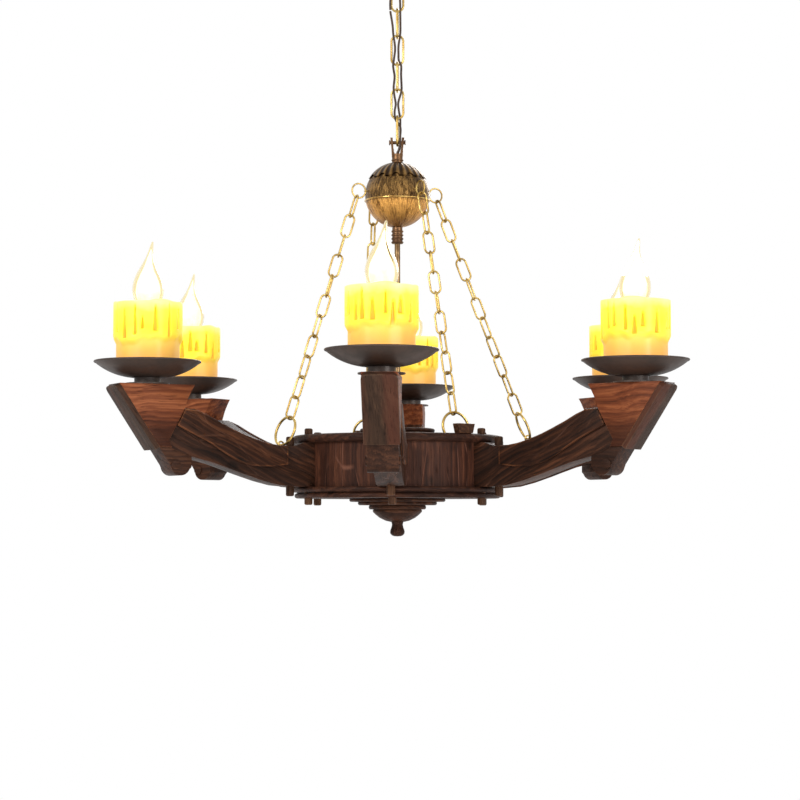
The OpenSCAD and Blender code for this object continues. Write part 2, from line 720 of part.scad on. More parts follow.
module candle(k) {
  color("khaki") hung() at_arm(k) translate([candle_circle, 0, 0]) rotate([0, 0, 47*k]) difference() {
    union() {
      translate([0, 0, candle_low]) cylinder(d=candle_d, h=candle_top - 4 - candle_low);
      translate([0, 0, candle_top - 9]) cylinder(d=drip_d - 6, h=9);
      translate([0, 0, candle_top - 9]) cylinder(d=drip_d, h=6);
      translate([0, 0, candle_top - 3]) torus(drip_d/2 - 3, 6);
      translate([0, 0, candle_top - 9]) torus(drip_d/2 - 3, 6);
      for (i = [0:11]) rotate([0, 0, 30*i]) translate([candle_d/2 - 0.4, 0, candle_top - 9 - drips[i]]) {
        cylinder(r=3.8, h=drips[i] + 2, $fn=small);
        sphere(r=3.8, $fn=small);
      }
    }
    translate([0, 0, pan_floor - 1]) cylinder(d=candle_bore, h=120);
  }
}

ceiling_bracket();
terminal_block();
canopy();
collar_nut();
ceiling_loop();
cord_grommet();
cord_ceiling();
chain_link_top();
cord_link();
main_chain();
supply_cord();
clevis();
clevis_pin();
ball_cap();
ball_upper_shell();
ball_seam_ring();
ball_lower_shell();
neck_collar();
centre_rod();
rod_nuts();
ball_eyes();
ball_rings();
arm_chain(anchors[0]);  // chain_front_left
arm_chain(anchors[1]);  // chain_front_right
arm_chain(anchors[2]);  // chain_back_right
arm_chain(anchors[3]);  // chain_back_left
lower_rings();
screw_eyes();
hub_boss();
hub_top_disc();
hub_cleats();
hub_drum();
hub_terminal();
hub_bottom_disc();
hub_rosette();
finial();
dowel_pegs();
arm_beams();
arm_rails();
arm_cables();
end_brackets();
front_plates();
scroll_feet();
pan_seats();
drip_pans();
pan_nuts();
candle_stems();
lampholders();
bulb(1);  // bulb_1
bulb(2);  // bulb_2
bulb(3);  // bulb_3
bulb(4);  // bulb_4
bulb(5);  // bulb_5
bulb(6);  // bulb_6
candle(1);  // candle_1
candle(2);  // candle_2
candle(3);  // candle_3
candle(4);  // candle_4
candle(5);  // candle_5
candle(6);  // candle_6
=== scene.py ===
import math
import random

import bmesh
import bpy
import numpy as np
from mathutils import Matrix, Vector


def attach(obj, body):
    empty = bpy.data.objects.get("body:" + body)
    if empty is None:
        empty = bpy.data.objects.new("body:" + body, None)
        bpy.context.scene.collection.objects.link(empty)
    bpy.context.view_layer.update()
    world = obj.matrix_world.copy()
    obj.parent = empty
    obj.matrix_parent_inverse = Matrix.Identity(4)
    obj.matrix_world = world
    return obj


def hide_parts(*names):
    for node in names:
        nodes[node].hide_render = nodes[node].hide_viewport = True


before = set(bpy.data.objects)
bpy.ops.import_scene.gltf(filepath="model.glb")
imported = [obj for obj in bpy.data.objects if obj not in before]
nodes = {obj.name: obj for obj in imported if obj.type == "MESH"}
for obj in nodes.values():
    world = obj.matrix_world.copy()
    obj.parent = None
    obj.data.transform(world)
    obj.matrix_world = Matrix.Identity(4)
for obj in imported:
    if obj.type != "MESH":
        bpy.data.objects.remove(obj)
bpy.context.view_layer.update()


# ---- Ceiling bracket and terminal block -------------------------------------
# A flat zinc-plated crossbar screwed to the ceiling, with a white plastic
# terminal block under it. Both sit hidden inside the canopy.
def tree_node(tree, kind, *sockets, settings=(), **named):
    """A node of any tree: its settings first, a ramp's stops among them, then its sockets, given
    as pairs or by name. A value or an output socket is linked, anything else is a constant."""
    n = tree.nodes.new(kind)
    for key, value in dict(settings).items():
        if key == "stops":
            set_stops(n.color_ramp.elements, value)
        else:
            setattr(n, key, value)
    for key, value in [*sockets, *((key.replace("_", " "), value) for key, value in named.items())]:
        if isinstance(value, Val):
            value = value.out
        if isinstance(value, bpy.types.NodeSocket):
            tree.links.new(value, n.inputs[key])
        else:
            n.inputs[key].default_value = value
    return n


def set_stops(elements, stops):
    """A ramp's stops, each a position and an 8-bit screen colour."""
    while len(elements) < len(stops):
        elements.new(0.5)
    for element, (at, colour) in zip(elements, stops):
        element.position = at
        element.color = (*srgb(*colour), 1)


def srgb(r, g, b):
    """Linear colour of an 8-bit screen colour."""
    return tuple(c / 255 / 12.92 if c <= 10 else ((c / 255 + 0.055) / 1.055) ** 2.4 for c in (r, g, b))


class Val:
    """A number in a tree. Arithmetic on it adds Math nodes to the same tree."""

    def __init__(self, tree, out):
        self.tree, self.out = tree, out

    def math(self, operation, *values):
        """A Math node; without further values it works on this one alone."""
        values = values or (self,)
        n = tree_node(self.tree, "ShaderNodeMath", *enumerate(values), settings={"operation": operation})
        return Val(self.tree, n.outputs[0])

    def __add__(self, other):
        return self.math("ADD", self, other)

    def __sub__(self, other):
        return self.math("SUBTRACT", self, other)

    def __rsub__(self, other):
        return self.math("SUBTRACT", other, self)

    def __mul__(self, other):
        return self.math("MULTIPLY", self, other)

    def __truediv__(self, other):
        return self.math("DIVIDE", self, other)

    def __rtruediv__(self, other):
        return self.math("DIVIDE", other, self)

    def __pow__(self, other):
        return self.math("POWER", self, other)

    __radd__, __rmul__ = __add__, __mul__

    def sin(self):
        return self.math("SINE")

    def band(self, low, high):
        """0 below low, 1 above high, smooth between."""
        n = tree_node(self.tree, "ShaderNodeMapRange", settings={"interpolation_type": "SMOOTHSTEP"},
                      From_Min=low, From_Max=high, Value=self)
        return Val(self.tree, n.outputs["Result"])


class Paint:
    """One procedural material: its tree, its Principled shader and the nodes on it."""

    def __init__(self, name, **fixed):
        self.mat = bpy.data.materials.new(name)
        self.mat.use_nodes = True
        self.tree = self.mat.node_tree
        self.bsdf = next(n for n in self.tree.nodes if n.type == "BSDF_PRINCIPLED")
        for key, value in fixed.items():
            self.bsdf.inputs[key.replace("_", " ")].default_value = value

    def node(self, kind, *sockets, out=0, **named):
        """A shader node of this material, taken by the name or number of its output."""
        return Val(self.tree, tree_node(self.tree, "ShaderNode" + kind, *sockets, **named).outputs[out])

    def coords(self):
        return self.node("TexCoord", out="Object")

    def stored(self, name, out="Fac"):
        """What the mesh stores under a name: a number, or a place with out as Vector."""
        return self.node("Attribute", out=out, settings={"attribute_name": name})

    def scaled(self, vec, x, y, z):
        return self.node("VectorMath", (0, vec), (1, (x, y, z)), settings={"operation": "MULTIPLY"})

    def part(self, vec, axis):
        return self.node("SeparateXYZ", out=axis, Vector=vec)

    def noise(self, vec, scale, detail=4.0, rough=0.55, distortion=0.0):
        return self.node("TexNoise", Vector=vec, Scale=scale, Detail=detail, Roughness=rough,
                         Distortion=distortion)

    def ramp(self, value, *stops):
        return self.node("ValToRGB", (0, value), settings={"stops": stops})

    def mix(self, factor, a, b):
        """From colour a to colour b; a colour is a value or an 8-bit screen colour."""
        a, b = ((*srgb(*v), 1) if isinstance(v, tuple) else v for v in (a, b))
        return self.node("Mix", (0, factor), (6, a), (7, b), out=2, settings={"data_type": "RGBA"})

    def set(self, key, value):
        self.tree.links.new(value.out, self.bsdf.inputs[key])

    def bump(self, height, strength, distance):
        self.set("Normal", self.node("Bump", Strength=strength, Distance=distance, Height=height))


def metal(name, light, dark, rough=(0.25, 0.45), grain=900, bump=0.15, scale=60, metallic=1.0):
    """Worn metal: blotchy patina, fine scratches and roughness that follows both."""
    p = Paint(name, Metallic=metallic)
    c = p.coords()
    blotch = p.noise(c, scale, 5, 0.6)
    fine = p.noise(c, grain, 3, 0.6)
    tone = (blotch * 0.75 + fine * 0.25).band(0.36, 0.62)
    p.set("Base Color", p.ramp(tone, (0.0, dark), (1.0, light)))
    p.set("Roughness", tone * (rough[0] - rough[1]) + rough[1] + fine * 0.06)
    p.bump(fine * 0.5 + blotch * 0.5, bump, 0.0004)
    return p.mat


def plastic(name, colour, shade, rough=0.45):
    p = Paint(name)
    c = p.coords()
    n = p.noise(c, 240, 4, 0.6)
    p.set("Base Color", p.ramp(n, (0.3, shade), (0.7, colour)))
    p.set("Roughness", n * 0.2 + (rough - 0.1))
    p.bump(p.noise(c, 1500, 2, 0.5), 0.12, 0.0002)
    return p.mat


def paint_node(name, material):
    """Gives a carried-over CAD node its material."""
    mesh = nodes[name].data
    mesh.materials.clear()
    mesh.materials.append(material)


ZINC = metal("zinc", (176, 180, 186), (120, 122, 126), (0.3, 0.5), 700, 0.2)
WHITE = plastic("white_plastic", (232, 230, 222), (214, 210, 200))
paint_node("ceiling_bracket", ZINC)
paint_node("terminal_block", WHITE)

# ---- Canopy, collar nut, loop and grommet ------------------------------------
# A spun dome in dark bronze paint, held up by a turned collar nut on the
# stem of the hanging loop. The cord leaves through a rubber grommet.
BRONZE = metal("dark_bronze", (112, 84, 60), (78, 56, 42), (0.34, 0.5), 800, 0.15, 40)
RUBBER = plastic("black_rubber", (30, 28, 27), (20, 19, 18), 0.65)
for name in ("canopy", "collar_nut", "ceiling_loop"):
    paint_node(name, BRONZE)
paint_node("cord_grommet", RUBBER)


# ---- Main chain ----------------------------------------------------------------
# Long oval links bent from brass-plated wire and butt-welded on one side. The
# plating is rubbed pale where links bear and tarnished in between.
CHAIN = metal("chain_brass", (204, 176, 108), (158, 128, 68), (0.22, 0.36), 700, 0.04, 45)


def add_mesh(name, verts, faces, material, smooth=40.0):
    """A new mesh object at the origin, shaded smooth but for edges over the angle."""
    mesh = bpy.data.meshes.new(name)
    mesh.from_pydata([tuple(v) for v in verts], [], [tuple(f) for f in faces])
    finish_mesh(mesh, smooth)
    mesh.materials.append(material)
    obj = bpy.data.objects.new(name, mesh)
    bpy.context.scene.collection.objects.link(obj)
    return obj


def finish_mesh(mesh, smooth=40.0):
    bm = bmesh.new()
    bm.from_mesh(mesh)
    bmesh.ops.recalc_face_normals(bm, faces=bm.faces)
    limit = math.radians(smooth)
    for f in bm.faces:
        f.smooth = True
    for e in bm.edges:
        e.smooth = len(e.link_faces) != 2 or e.calc_face_angle(0.0) < limit
    bm.to_mesh(mesh)
    bm.free()
    mesh.update()


def place(obj, body, slot_name, *stands_for):
    """Rides on its body and stands for its CAD nodes, which it hides. slot_name is not used."""
    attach(obj, body)
    if stands_for:
        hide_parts(*stands_for)
    return obj


def islands(name):
    """The separate solids of a CAD node, each as an array of its corners."""
    bm = bmesh.new()
    bm.from_mesh(nodes[name].data)
    bmesh.ops.remove_doubles(bm, verts=bm.verts, dist=1e-6)
    seen, found = set(), []
    for v in bm.verts:
        if v in seen:
            continue
        stack, group = [v], []
        seen.add(v)
        while stack:
            a = stack.pop()
            group.append(a.co[:])
            for e in a.link_edges:
                b = e.other_vert(a)
                if b not in seen:
                    seen.add(b)
                    stack.append(b)
        found.append(np.array(group))
    bm.free()
    return found


def new_tree(name, *inputs):
    """An empty Geometry Nodes tree with a Geometry input and named number inputs."""
    tree = bpy.data.node_groups.new(name, "GeometryNodeTree")
    tree.interface.new_socket("Geometry", in_out="INPUT", socket_type="NodeSocketGeometry")
    for label in inputs:
        tree.interface.new_socket(label, in_out="INPUT", socket_type="NodeSocketFloat")
    tree.interface.new_socket("Geometry", in_out="OUTPUT", socket_type="NodeSocketGeometry")
    return tree, tree.nodes.new("NodeGroupInput")


def end_tree(tree, geometry, material):
    """Every tree ends the same way: instances made real, then the material."""
    real = tree_node(tree, "GeometryNodeRealizeInstances", ("Geometry", geometry))
    painted = tree_node(tree, "GeometryNodeSetMaterial", ("Geometry", real.outputs[0]), Material=material)
    tree_node(tree, "NodeGroupOutput", ("Geometry", painted.outputs[0]))


def grow(name, points, edges, tree, turns=None, **sizes):
    """Runs a tree on points and keeps the result as a plain mesh."""
    mesh = bpy.data.meshes.new(name + "_points")
    mesh.from_pydata([tuple(p) for p in points], edges, [])
    if turns is not None:
        turn = mesh.attributes.new("turn", "FLOAT_VECTOR", "POINT")
        turn.data.foreach_set("vector", np.array(turns, np.float32).ravel())
    obj = bpy.data.objects.new(name, mesh)
    bpy.context.scene.collection.objects.link(obj)
    modifier = obj.modifiers.new("grow", "NODES")
    modifier.node_group = tree
    for item in tree.interface.items_tree:
        if item.in_out == "INPUT" and item.name in sizes:
            modifier[item.identifier] = sizes[item.name]
    made = bpy.data.meshes.new_from_object(obj.evaluated_get(bpy.context.evaluated_depsgraph_get()))
    obj.modifiers.remove(modifier)
    obj.data = made
    finish_mesh(made, 60)
    return obj


def link_tree():
    """One oval link of round wire on every point, turned by the point's own angles."""
    tree, given = new_tree("oval_links", "Length", "Width", "Wire")
    half = Val(tree, given.outputs["Wire"]) * 0.5
    bend = Val(tree, given.outputs["Width"]) * 0.499    # just under half, so that the ends are round
    box = tree_node(tree, "GeometryNodeCurvePrimitiveQuadrilateral", ("Width", given.outputs["Length"]),
                    ("Height", given.outputs["Width"]))
    oval = tree_node(tree, "GeometryNodeFilletCurve", ("Curve", box.outputs[0]), ("Radius", bend),
                     settings={"mode": "POLY"}, Count=12)
    even = tree_node(tree, "GeometryNodeResampleCurve", ("Curve", oval.outputs[0]), Count=72)
    wire = tree_node(tree, "GeometryNodeCurvePrimitiveCircle", ("Radius", half), Resolution=14)
    link = tree_node(tree, "GeometryNodeCurveToMesh", ("Curve", even.outputs[0]),
                     ("Profile Curve", wire.outputs[0]))
    turn = tree_node(tree, "GeometryNodeInputNamedAttribute", settings={"data_type": "FLOAT_VECTOR"},
                     Name="turn")
    euler = tree_node(tree, "FunctionNodeEulerToRotation", (0, turn.outputs[0]))
    laid = tree_node(tree, "GeometryNodeInstanceOnPoints", ("Points", given.outputs["Geometry"]),
                     ("Instance", link.outputs[0]), ("Rotation", euler.outputs[0]))
    end_tree(tree, laid.outputs[0], CHAIN)
    return tree


LINKS = link_tree()


def chain(name, node_name, wire, body):
    """The chain of a CAD node: each link in the place, turn and size of its CAD solid."""
    middles, turns = [], []
    for pts in islands(node_name):
        axes = np.linalg.svd(pts - pts.mean(0), full_matrices=False)[2]
        local = (pts - pts.mean(0)) @ axes.T
        low, high = local.min(0), local.max(0)
        middles.append(pts.mean(0) + ((low + high) / 2) @ axes)
        if np.linalg.det(axes) < 0:
            axes[2] *= -1
        turns.append(Matrix(axes.T.tolist()).to_euler()[:])
    size = high - low - wire
    obj = grow(name, middles, [], LINKS, turns, Length=float(size[0]), Width=float(size[1]), Wire=wire)
    return place(obj, body, "chain_brass", node_name)


chain("top_chain_link", "chain_link_top", 0.0028, "top_link")
chain("ceiling_chain", "main_chain", 0.0028, "fixture")

# ---- Supply cord ---------------------------------------------------------------
# Two insulated strands in a dark woven sleeve. They leave the canopy, weave
# through the chain and go down the hollow centre rod to the hub's terminal.
RIM = -0.530            # plane of the drip-pan rims, below the ceiling
STRAND = 0.0026         # thickness of one strand


def cord_material():
    p = Paint("woven_cord", Roughness=0.75)
    c = p.coords()
    rise, across = 3200, 2400       # waves of the weave per metre
    weave = ((p.part(c, 2) * rise + p.part(c, 0) * across).sin()
             * (p.part(c, 2) * rise - p.part(c, 1) * across).sin())
    tone = (weave * 0.5 + 0.5) * 0.6 + p.noise(c, 500, 3) * 0.4
    p.set("Base Color", p.ramp(tone, (0.2, (26, 18, 15)), (0.8, (84, 64, 52))))
    p.bump(tone, 0.5, 0.0003)
    return p.mat


def tube_tree():
    """A round tube along the line of points."""
    tree, given = new_tree("strand", "Radius")
    line = tree_node(tree, "GeometryNodeMeshToCurve", ("Mesh", given.outputs["Geometry"]))
    ring = tree_node(tree, "GeometryNodeCurvePrimitiveCircle", ("Radius", given.outputs["Radius"]),
                     Resolution=12)
    tube = tree_node(tree, "GeometryNodeCurveToMesh", ("Curve", line.outputs[0]),
                     ("Profile Curve", ring.outputs[0]), Fill_Caps=True)
    end_tree(tree, tube.outputs[0], CORD)
    return tree


CORD = cord_material()
TUBE = tube_tree()

# Routes in mm, heights above the pan rims: on the ceiling side, over the top
# link, and from there down through the chain, the ball and the rod.
TOP_RIGHT = [(1.6, -14, 465.95), (1.6, -17, 480), (1.6, -18, 489), (1.6, -18, 500), (2.6, -17, 505),
             (14, -10, 509), (25, -1, 508.5), (28, 4, 513), (28, 4, 518)]
TOP_LEFT = [(-1.6, -14, 465.95), (-1.6, -17, 480), (-1.6, -18, 489), (-1.6, -18, 500), (-0.6, -17, 505),
            (7, -10, 509), (14, 0, 508.5), (16, 4, 513), (16, 4, 518)]
LINK_RIGHT = [(1.6, -14, 464.95), (2, -11, 456), (3.4, -6, 446), (3.6, -3, 434.4)]
LINK_LEFT = [(-1.6, -14, 464.95), (-4, -11, 456), (-8, -6, 446), (-8.4, -3, 434.4)]
CORD_RIGHT = [(3.6, -3, 432.95), (3.8, -3.4, 416), (3.6, -3.4, 405), (1.6, -3.6, 391), (1.5, -3.5, 380.8),
              (1.9, -4.3, 372.8), (4.7, -3.5, 366.4), (4.5, -0.9, 355.9), (5, -0.3, 343.2), (4.9, -3.8, 334.9),
              (1.3, -3.5, 321.9), (1.7, -1.1, 313.2), (3.2, 3.1, 303.7), (3.2, 3.6, 292), (3.2, 3.8, 278),
              (2.6, 3.4, 268), (0.8, 1.8, 262), (0, 1.35, 257), (0, 1.35, 200), (0, 1.35, 0),
              (0, 1.35, -90), (0.6, 1.4, -97), (4, 2, -102), (12, 4, -104), (22, 5, -105.6), (27, 5, -111.4)]
CORD_LEFT = [(-8.4, -3, 432.95), (-5.7, -3.2, 416), (-4.8, -3.4, 405), (-2.6, -3.6, 388), (-4, -3.6, 374),
             (-5, -2.6, 366), (-3.4, -0.6, 354), (-4.4, -2.6, 340.3), (-3.4, -3.5, 330), (-1.8, -3.6, 320),
             (-3.3, -1.5, 310.9), (-1.9, -3.6, 300.9), (3.8, -3.7, 292), (3.3, -3.8, 278), (2.6, -3.4, 268),
             (0.8, -1.8, 262), (0, -1.35, 257), (0, -1.35, 200), (0, -1.35, 0), (0, -1.35, -90),
             (0.6, -1.4, -97), (4, -2, -102), (12, -4, -104), (22, -5, -105.6), (27, -5, -111.4)]


def smooth_path(route, steps=6):
    """A Catmull-Rom curve through the route's points, in metres in the shared frame."""
    p = [Vector((x / 1000, y / 1000, RIM + z / 1000)) for x, y, z in route]
    p = [2 * p[0] - p[1], *p, 2 * p[-1] - p[-2]]
    out = []
    for a, b, c, d in zip(p, p[1:], p[2:], p[3:]):
        for i in range(steps):
            t = i / steps
            out.append(0.5 * (2 * b + (c - a) * t + (2 * a - 5 * b + 4 * c - d) * t * t
                              + (3 * b - a - 3 * c + d) * t ** 3))
    return [*out, p[-2]]


def strand(name, route, body, *stands_for):
    path = smooth_path(route)
    edges = [(i, i + 1) for i in range(len(path) - 1)]
    obj = grow(name, path, edges, TUBE, Radius=STRAND / 2)
    place(obj, body, "cord_cloth", *stands_for)
    length = sum((b - a).length for a, b in zip(path, path[1:]))


strand("cord_ceiling_right", TOP_RIGHT, "ceiling", "cord_ceiling")
strand("cord_ceiling_left", TOP_LEFT, "ceiling")
strand("cord_link_right", LINK_RIGHT, "top_link", "cord_link")
strand("cord_link_left", LINK_LEFT, "top_link")
strand("supply_cord_right", CORD_RIGHT, "fixture", "supply_cord")
strand("supply_cord_left", CORD_LEFT, "fixture")

# ---- Clevis, ball cap, ball, collar and rod -------------------------------------
# The clevis takes the last chain link on a cross pin. The ball is two spun
# brass halves with a rolled seam, a chased cap above and chased leaves below.
BALL_Z, BALL_R = RIM + 0.2102, 0.0386           # middle and radius of the ball
ROD_HOLE = 0.0034
POLE = math.sqrt(BALL_R ** 2 - ROD_HOLE ** 2)   # where the rod's hole cuts the ball


def chased_ball(name, light, dark, low_light, low_dark):
    """Cast and chased brass: strokes fan out over the ball, patina sits in the hollows."""
    p = Paint(name, Metallic=1.0)
    c = p.stored("ball", "Vector")
    turn, height = p.part(c, 0), p.part(c, 1)
    strokes = p.noise(p.scaled(c, 9, 2.1, 1), 1.6, 5, 0.7, 1.1)
    cuts = p.noise(p.scaled(c, 26, 4, 1), 1.3, 4, 0.6, 0.5)
    leaves = ((turn * 12 + (strokes - 0.5) * 5).sin() * 0.5 + 0.5) ** 0.6
    ribs = ((turn * 24).sin() * 0.5 + 0.5) ** 1.6
    top = height.band(0.47, 0.5)
    low = (0.0 - height).band(0.15, 0.3)
    chase = strokes.band(0.36, 0.64) * 0.55 + cuts * 0.45 + leaves * low * 0.25
    chase = chase * (1 - top) + (ribs * 0.7 + cuts * 0.3) * top
    patina = p.noise(p.coords(), 60, 5, 0.62)
    tone = (chase * 0.7 + patina * 0.5 - 0.1).band(0.2, 0.78)
    middle = tuple((a + 2 * b) // 3 for a, b in zip(dark, light))
    upper = p.ramp(tone, (0.0, dark), (0.6, middle), (1.0, light))
    lower = p.ramp(tone, (0.0, low_dark), (1.0, low_light))
    foot = (0.0 - height).band(0.62, 0.98)
    p.set("Base Color", p.mix(foot * 0.55, p.mix(low, upper, lower), (112, 70, 34)))
    p.set("Roughness", tone * -0.14 + 0.42)
    p.bump(chase + patina * 0.12, 0.75, 0.0012)
    return p.mat


def dress(name, node_name, material, body, slot_name, bevel=0.0, min_edge=0.0, sharp=28.0, attr=None):
    """A worn copy of a CAD node: flats merged, grain and wear stored on the mesh. Convex edges
    longer than min_edge and sharper than sharp degrees are eased by bevel metres."""
    bm = bmesh.new()
    bm.from_mesh(nodes[node_name].data)
    bmesh.ops.remove_doubles(bm, verts=bm.verts, dist=2e-6)
    bmesh.ops.dissolve_limit(bm, angle_limit=math.radians(0.4), verts=bm.verts, edges=bm.edges)
    wear = bm.faces.layers.float.new("wear")
    if bevel:
        edges = [e for e in bm.edges if len(e.link_faces) == 2 and e.calc_length() > min_edge
                 and e.is_convex and e.calc_face_angle(0.0) > math.radians(sharp)]
        made = bmesh.ops.bevel(bm, geom=edges, offset=bevel, segments=2, profile=0.6, affect="EDGES",
                               clamp_overlap=True)
        for f in made["faces"]:
            f[wear] = 1.0
    mesh = bpy.data.meshes.new(name)
    bm.to_mesh(mesh)
    bm.free()
    finish_mesh(mesh, 35)
    if attr:
        co = np.array([v.co[:] for v in mesh.vertices])
        data = mesh.attributes.new("grain", "FLOAT_VECTOR", "POINT")
        data.data.foreach_set("vector", np.array(attr(co), np.float32).ravel())
    mesh.materials.append(material)
    obj = bpy.data.objects.new(name, mesh)
    bpy.context.scene.collection.objects.link(obj)
    return place(obj, body, slot_name, node_name)


BALL = chased_ball("chased_brass", (138, 106, 62), (46, 31, 18), (216, 160, 86), (92, 58, 30))


def ring_faces(rows, n, closed=True):
    """Faces between rows of n points each; closed joins the last row to the first."""
    faces = []
    for i in range(rows if closed else rows - 1):
        for j in range(n):
            q, m = (j + 1) % n, (i + 1) % rows
            faces.append((i * n + j, i * n + q, m * n + q, m * n + j))
    return faces


def shell(name, node_name, z_low, z_high, slot_name, wall=0.0012):
    """A spun half of the ball, sheet thick, between two heights above the ball's middle."""
    around, steps = 192, 40
    rows = []
    for r in (BALL_R, BALL_R - wall):
        lo, hi = math.asin(max(-1, z_low / r)), math.asin(min(1, z_high / r))
        order = range(steps + 1) if r == BALL_R else range(steps, -1, -1)
        rows += [(r, lo + (hi - lo) * i / steps) for i in order]
    verts = []
    for r, a in rows:
        out, up = r * math.cos(a), r * math.sin(a)
        for j in range(around):
            t = 2 * math.pi * j / around
            verts.append((out * math.cos(t), out * math.sin(t), BALL_Z + up))
    obj = add_mesh(name, verts, ring_faces(len(rows), around), BALL, 50)
    store_turn(obj)
    return place(obj, "fixture", slot_name, node_name)


def store_turn(obj):
    """Angle round the axis and height on the ball, per face corner so that the seam stays clean."""
    mesh = obj.data
    data = mesh.attributes.new("ball", "FLOAT_VECTOR", "CORNER")
    values = np.zeros((len(mesh.loops), 3), np.float32)
    for poly in mesh.polygons:
        mid = math.atan2(poly.center.y, poly.center.x)
        for li in poly.loop_indices:
            co = mesh.vertices[mesh.loops[li].vertex_index].co
            t = math.atan2(co.y, co.x)
            if t - mid > math.pi:
                t -= 2 * math.pi
            if mid - t > math.pi:
                t += 2 * math.pi
            values[li] = (t, (co.z - BALL_Z) / BALL_R, 0)
    data.data.foreach_set("vector", values.ravel())


paint_node("clevis", BRONZE)
paint_node("clevis_pin", BRONZE)
shell("ball_upper", "ball_upper_shell", -0.0058, POLE, "ball_brass")
shell("ball_lower", "ball_lower_shell", -POLE, -0.0074, "ball_gold")
store_turn(dress("ball_leaf_cap", "ball_cap", BALL, "fixture", "ball_brass", 0.0002, 0.0002, 40))
SEAM = metal("seam_gold", (236, 200, 124), (150, 108, 52), (0.18, 0.34), 900, 0.2, 200)
paint_node("ball_seam_ring", SEAM)
paint_node("neck_collar", BRONZE)
ROD = metal("rod_brass", (150, 124, 90), (92, 70, 48), (0.28, 0.42), 900, 0.1, 60)
paint_node("centre_rod", ROD)
paint_node("rod_nuts", ZINC)
paint_node("ball_eyes", CHAIN)
paint_node("ball_rings", CHAIN)

# ---- Arm chains, lower rings and screw eyes --------------------------------------
# Four chains of eleven oval links run from the ball rings down to larger rings
# held by screw eyes, two on arms and two on the hub.
for side_name in ("front_left", "front_right", "back_right", "back_left"):
    chain("arm_chain_" + side_name, "chain_" + side_name, 0.0024, "fixture")
paint_node("lower_rings", CHAIN)
paint_node("screw_eyes", CHAIN)


# ---- Hub ---------------------------------------------------------------------------
# Turned hardwood, stained nearly black-brown: a rounded top disc, a drum with
# upright grain and carved cracks, a moulded bottom disc, a stepped rosette.
def wood(name, dark, mid, light, worn, gloss=0.42, contrast=1.0, cracks=0.0, red=None, low=None):
    """Stained wood with its grain along the first stored axis. worn is the colour of rubbed
    edges, red of warmer stretches, and below the height low the colour is darker."""
    p = Paint(name, Specular_IOR_Level=0.1)
    c = p.stored("grain", "Vector")
    sway = p.noise(p.scaled(c, 4, 4, 4), 2.0, 2, 0.5)
    shift = p.node("CombineXYZ", Y=sway * 0.03, Z=sway * 0.03)
    bent = p.node("VectorMath", (0, c), (1, shift), settings={"operation": "ADD"})
    fine = p.noise(p.scaled(bent, 9, 520, 520), 1.0, 5, 0.62)
    figure = p.noise(p.scaled(bent, 5, 120, 120), 1.0, 6, 0.66, 0.5)
    broad = p.noise(p.scaled(bent, 3.2, 30, 30), 1.0, 3, 0.5)
    lines = (p.part(bent, 2) * 900 + p.part(bent, 1) * 260 + figure * 16 + broad * 20).sin() * 0.5 + 0.5
    pores = p.noise(p.scaled(c, 50, 1000, 1000), 1.0, 2, 0.5).band(0.6, 0.7)
    tone = fine * 0.3 + figure * 0.55 + broad * 0.35 + lines * 0.1 - 0.15
    tone = (tone - 0.5) * (1.9 * contrast) + 0.5
    colour = p.ramp(tone, (0.1, dark), (0.5, mid), (0.9, light))
    if red:
        colour = p.mix(broad.band(0.45, 0.68) * 0.6, colour, red)
    colour = p.mix(pores * 0.6, colour, tuple(int(v * 0.5) for v in dark))
    knot = p.node("TexVoronoi", settings={"feature": "F1"}, Vector=p.scaled(c, 17, 30, 30), Scale=1.0)
    spot = (0.16 - knot).band(0.0, 0.1)
    colour = p.mix(spot * 0.7, colour, tuple(int(v * 0.6) for v in dark))
    height = fine * 0.45 + figure * 0.5 - pores * 0.4 - spot * 0.6
    if cracks:
        v = p.node("TexVoronoi", settings={"feature": "DISTANCE_TO_EDGE"},
                   Vector=p.scaled(bent, 15, 55, 55), Scale=1.0)
        wide = p.noise(p.scaled(c, 9, 40, 40), 1.0, 2, 0.5).band(0.46, 0.6)
        line = (0.045 - v).band(0.0, 0.045) * wide
        colour = p.mix(line * cracks, colour, tuple(int(q * 1.5 + 26) for q in mid))
        height = height - line * 0.9
    if low:
        deep = (low - p.part(p.coords(), 2) + (figure - 0.5) * 0.02).band(-0.012, 0.022)
        colour = p.mix(deep * 0.85, colour, tuple(int(v * 0.8) for v in dark))
    edge = p.stored("wear")
    rub = (edge * (figure * 0.8 + fine * 0.5)).band(0.5, 0.85)
    colour = p.mix(rub * 0.7, colour, worn)
    p.set("Base Color", colour)
    p.set("Roughness", tone * -0.1 + (gloss + 0.1) + pores * 0.2)
    p.bump(height + broad * 1.5, 0.55, 0.0011)
    return p.mat


def turned_upright(co):
    """Grain runs up the drum."""
    a = np.arctan2(co[:, 1], co[:, 0])
    return np.stack([co[:, 2], a * 0.116, np.hypot(co[:, 0], co[:, 1])], 1)


def flat_board(co):
    """Grain runs across the board."""
    return co


